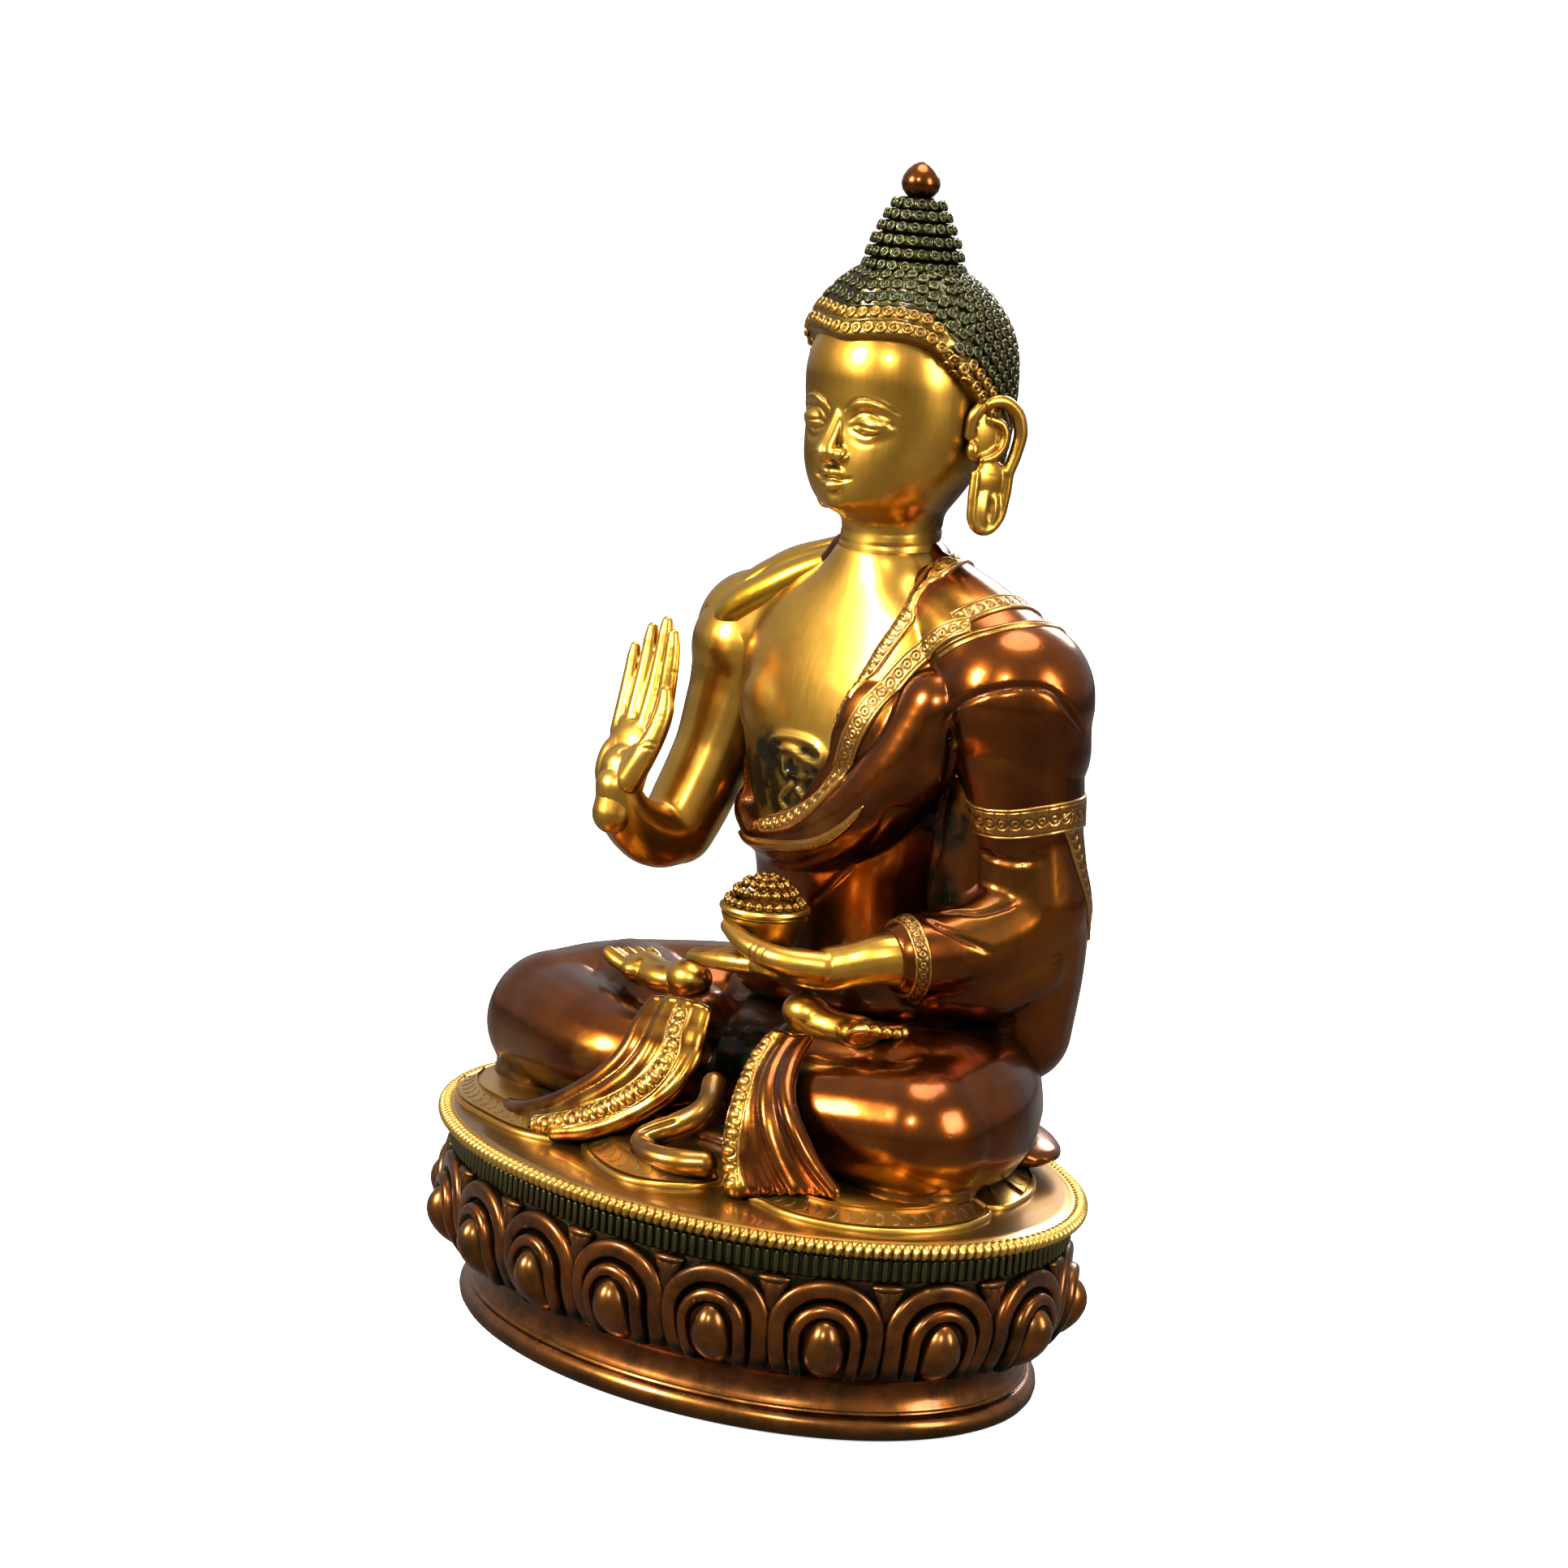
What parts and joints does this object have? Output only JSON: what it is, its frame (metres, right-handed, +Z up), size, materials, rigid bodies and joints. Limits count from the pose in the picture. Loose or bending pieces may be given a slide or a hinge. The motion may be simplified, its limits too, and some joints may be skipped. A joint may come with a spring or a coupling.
{
  "type": "buddha statue",
  "caption": "Seated cast-brass Buddha on an oval lotus base, right hand raised in blessing and left hand holding an alms bowl.",
  "frame": {"origin": "centre of the footprint at the underside of the foot ring, on the surface the statue stands on", "axes": "+Z up, the figure faces -Y, its own left hand is towards +X"},
  "size_m": [0.191, 0.1458, 0.3],
  "materials": {
    "polished_brass": "hand-brushed and polished brass under clear lacquer",
    "aged_brass": "brass with dark patina left in the carving",
    "umber_brass": "brown-orange tinted lacquer over brass, rubbed back at the edges",
    "copper_lacquer": "glossy reddish-brown tinted lacquer over brass",
    "green_patina": "dark olive-green patina over brass, highlights rubbed bright",
    "screw_brass": "plain turned brass"
  },
  "bodies": {
    "root": {"foot_ring": "umber_brass", "drum": "green_patina", "outer_petals": "umber_brass", "inner_petals": "umber_brass", "petal_bosses": "copper_lacquer", "petal_spears": "green_patina", "fluted_band": "green_patina", "beaded_rim": "polished_brass", "seat_plate": "polished_brass", "fixing_screws": "screw_brass", "robe_hem": "polished_brass", "lap": "copper_lacquer", "front_pleats": "copper_lacquer", "side_pleats": "copper_lacquer", "left_foot": "polished_brass", "right_foot": "polished_brass", "torso": "polished_brass", "mantle": "copper_lacquer", "left_arm": "copper_lacquer", "right_arm": "polished_brass", "left_hand": "polished_brass", "right_hand": "polished_brass", "alms_bowl": "polished_brass", "bowl_heap": "aged_brass", "head": "polished_brass", "hair_cap": "green_patina", "ushnisha": "green_patina", "finial": "copper_lacquer", "left_ear": "polished_brass", "right_ear": "polished_brass"}
  },
  "joints": []
}
